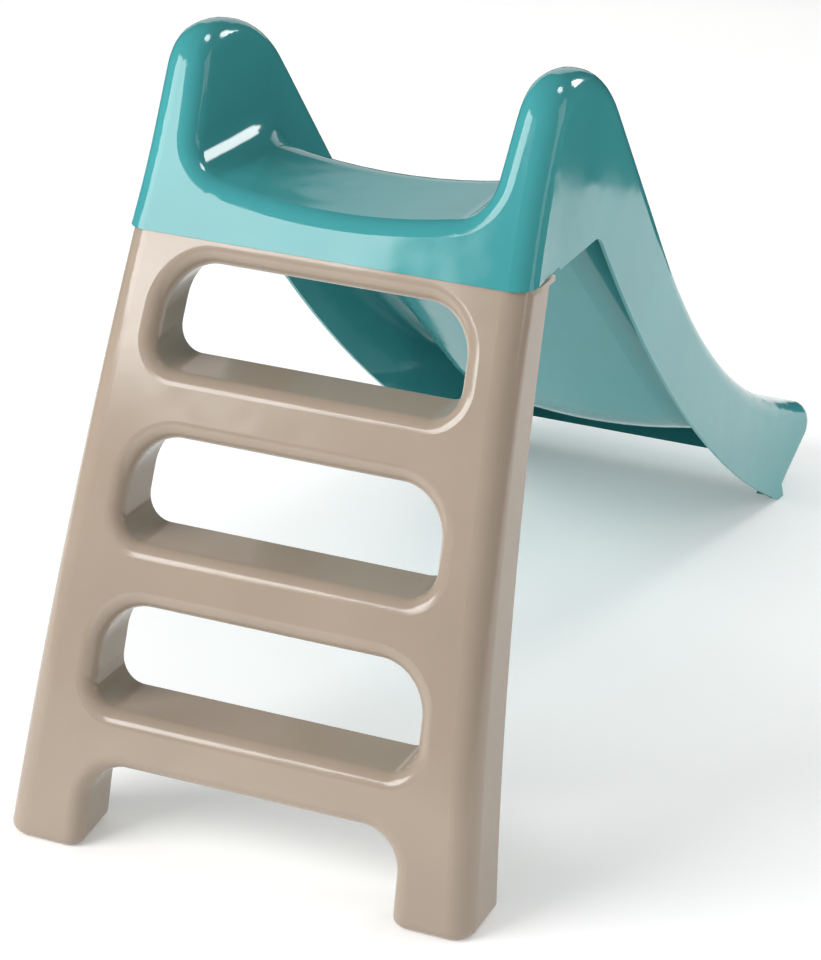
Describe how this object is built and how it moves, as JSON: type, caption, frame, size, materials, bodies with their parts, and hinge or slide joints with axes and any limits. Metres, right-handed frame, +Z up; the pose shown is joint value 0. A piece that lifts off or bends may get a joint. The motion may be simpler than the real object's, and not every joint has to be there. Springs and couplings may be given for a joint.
{
  "type": "toddler slide",
  "caption": "Small folding slide: moulded chute with side rails and hood, hinged to an open moulded ladder with steps.",
  "frame": {"origin": "on the floor, under the middle of the slide's length and width", "axes": "+Y runs down the chute from the ladder to the exit, +X across, +Z up"},
  "size_m": [0.5532, 1.4478, 0.8566],
  "materials": {
    "slide_plastic": "glossy muted teal",
    "ladder_plastic": "semi-gloss warm taupe",
    "zinc_steel": "bright zinc plate",
    "saddle_plastic": "matt black"
  },
  "bodies": {
    "slide": {"slide_shell": "slide_plastic", "hinge_rod": "zinc_steel", "hinge_saddle_left": "saddle_plastic", "hinge_saddle_right": "saddle_plastic", "rod_end_cap_left": "saddle_plastic", "rod_end_cap_right": "saddle_plastic", "saddle_screws": "zinc_steel"},
    "ladder": {"ladder_shell": "ladder_plastic"}
  },
  "joints": [
    {"name": "ladder_fold", "type": "hinge", "parent": "slide", "child": "ladder", "pos_m": [0, -0.426, 0.675], "axis": [1, 0, 0], "range_deg": [0, 70]}
  ]
}
